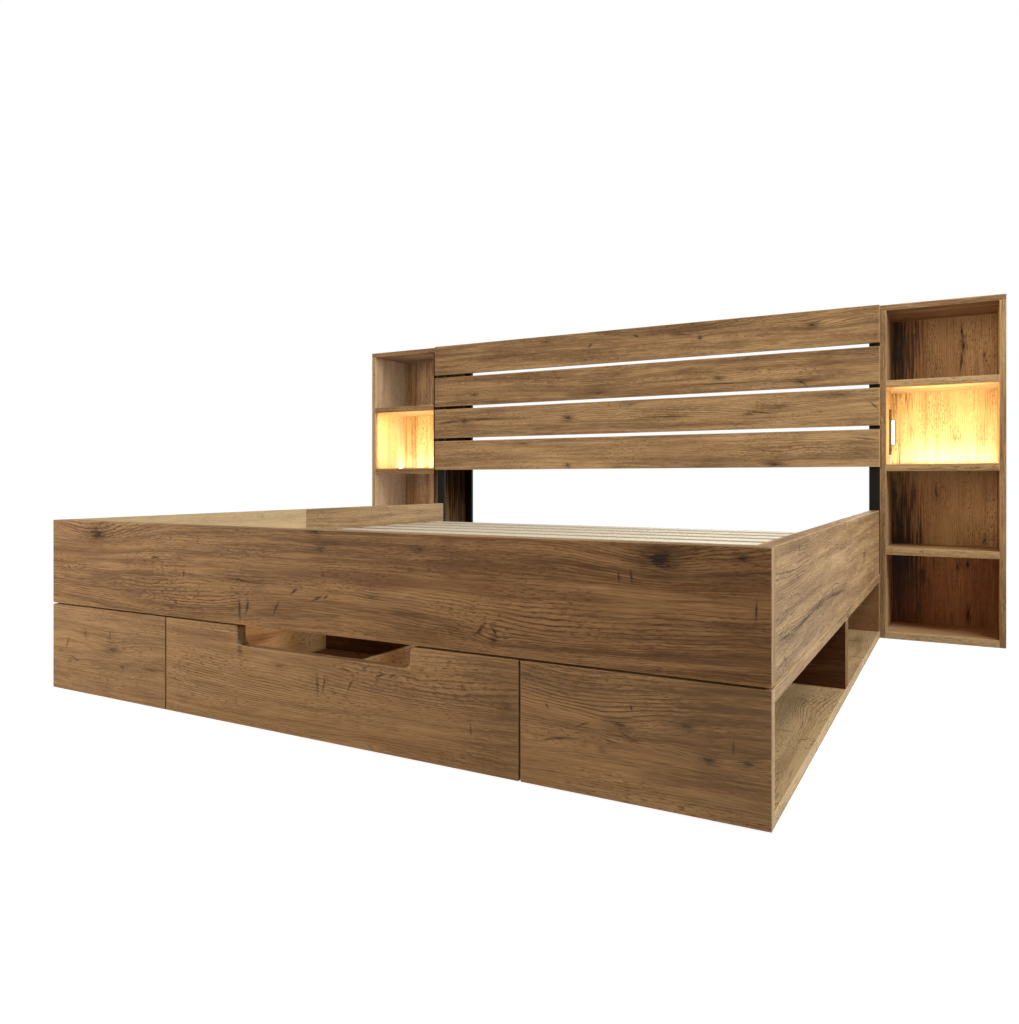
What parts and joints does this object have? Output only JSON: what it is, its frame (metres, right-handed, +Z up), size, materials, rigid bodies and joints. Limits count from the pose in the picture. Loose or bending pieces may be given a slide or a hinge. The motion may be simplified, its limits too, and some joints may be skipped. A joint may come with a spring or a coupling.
{
  "type": "storage bed",
  "caption": "Storage bed with a wide drawer at the foot, open niches along both sides, a planked headboard on steel posts and a shelf tower with a lit compartment at each side.",
  "frame": {"origin": "on the floor, under the centre of the outline of the bed with its towers", "axes": "+X to the right for someone who stands at the foot end and faces the headboard, +Y from the foot towards the headboard and the wall, +Z up"},
  "size_m": [2.63, 2.33, 1.203],
  "materials": {
    "oak_laminate": "matt, wild oak grain with dark cracks",
    "slat_wood": "planed, pale",
    "drawer_board": "matt, same decor as the bed",
    "black_steel": "matt black powder coat",
    "zinc_steel": "zinc plated",
    "dark_plastic": "matt",
    "strip_aluminium": "satin",
    "light_lens": "frosted, lit warm white",
    "lamp_bronze": "satin dark bronze"
  },
  "bodies": {
    "bed": {"beam_hangers": "zinc_steel", "box_backs": "oak_laminate", "box_decks_left": "oak_laminate", "box_decks_right": "oak_laminate", "box_dividers_left": "oak_laminate", "box_dividers_right": "oak_laminate", "box_floors_left": "oak_laminate", "box_floors_right": "oak_laminate", "box_inner_walls_left": "oak_laminate", "box_inner_walls_right": "oak_laminate", "centre_beam": "zinc_steel", "centre_leg_feet": "dark_plastic", "centre_legs": "zinc_steel", "foot_board": "oak_laminate", "frame_bolts": "black_steel", "front_panel_left": "oak_laminate", "front_panel_right": "oak_laminate", "glides": "dark_plastic", "head_rail": "oak_laminate", "headboard_plank_1": "oak_laminate", "headboard_plank_2": "oak_laminate", "headboard_plank_3": "oak_laminate", "headboard_plank_4": "oak_laminate", "headboard_posts": "black_steel", "light_strip_lenses": "light_lens", "light_strips": "strip_aluminium", "post_plugs": "dark_plastic", "post_ties": "black_steel", "reading_light_body": "lamp_bronze", "reading_light_lens": "light_lens", "runners_fixed": "zinc_steel", "side_board_left_front": "oak_laminate", "side_board_left_rear": "oak_laminate", "side_board_right_front": "oak_laminate", "side_board_right_rear": "oak_laminate", "slat_ledges": "slat_wood", "slats": "slat_wood", "tower_left_back": "oak_laminate", "tower_left_bottom": "oak_laminate", "tower_left_inner_side": "oak_laminate", "tower_left_lit_shelf": "oak_laminate", "tower_left_outer_side": "oak_laminate", "tower_left_shelves": "oak_laminate", "tower_left_top": "oak_laminate", "tower_right_back": "oak_laminate", "tower_right_bottom": "oak_laminate", "tower_right_inner_side": "oak_laminate", "tower_right_lit_shelf": "oak_laminate", "tower_right_outer_side": "oak_laminate", "tower_right_shelves": "oak_laminate", "tower_right_top": "oak_laminate"},
    "drawer": {"drawer_front": "oak_laminate", "drawer_side_left": "drawer_board", "drawer_side_right": "drawer_board", "drawer_back": "drawer_board", "drawer_bottom": "drawer_board", "drawer_divider": "drawer_board", "runners_drawer": "zinc_steel"},
    "left_runner_middle": {"runner_middle_left": "zinc_steel"},
    "right_runner_middle": {"runner_middle_right": "zinc_steel"}
  },
  "joints": [
    {"name": "drawer_slide", "type": "slide", "parent": "bed", "child": "drawer", "axis": [0, -1, 0], "range_m": [0, 0.5]},
    {"name": "left_runner_slide", "type": "slide", "parent": "bed", "child": "left_runner_middle", "axis": [0, -1, 0], "range_m": [0, 0.25]},
    {"name": "right_runner_slide", "type": "slide", "parent": "bed", "child": "right_runner_middle", "axis": [0, -1, 0], "range_m": [0, 0.25]}
  ],
  "couplings": [
    {"joint": "left_runner_slide", "follows": "drawer_slide", "ratio": 0.5},
    {"joint": "right_runner_slide", "follows": "drawer_slide", "ratio": 0.5}
  ]
}
